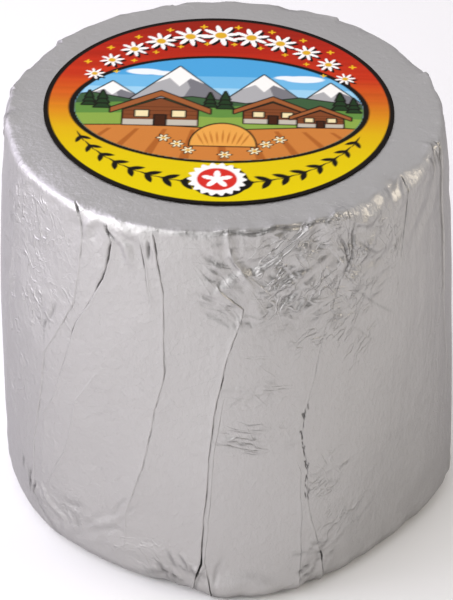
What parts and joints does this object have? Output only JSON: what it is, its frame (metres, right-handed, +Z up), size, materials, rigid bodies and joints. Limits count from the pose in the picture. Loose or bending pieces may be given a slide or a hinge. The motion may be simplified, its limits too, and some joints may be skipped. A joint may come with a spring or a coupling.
{
  "type": "tete de moine cheese",
  "caption": "Whole upright cylinder of cheese wrapped in silver foil, pleated down the side and tucked under, with a round printed paper label on the flat top.",
  "frame": {"origin": "on the surface the cheese stands on, under the middle of its outline", "axes": "+Z up along the cheese, -Y to the front, +X to the right as the picture shows it"},
  "size_m": [0.107, 0.1054, 0.1005],
  "materials": {
    "foil": "satin, creased and crinkled wrapping foil",
    "label_paper": "printed, slightly glossy"
  },
  "bodies": {
    "root": {"foil_wrapped_cheese": "foil", "paper_label": "label_paper"}
  },
  "joints": []
}
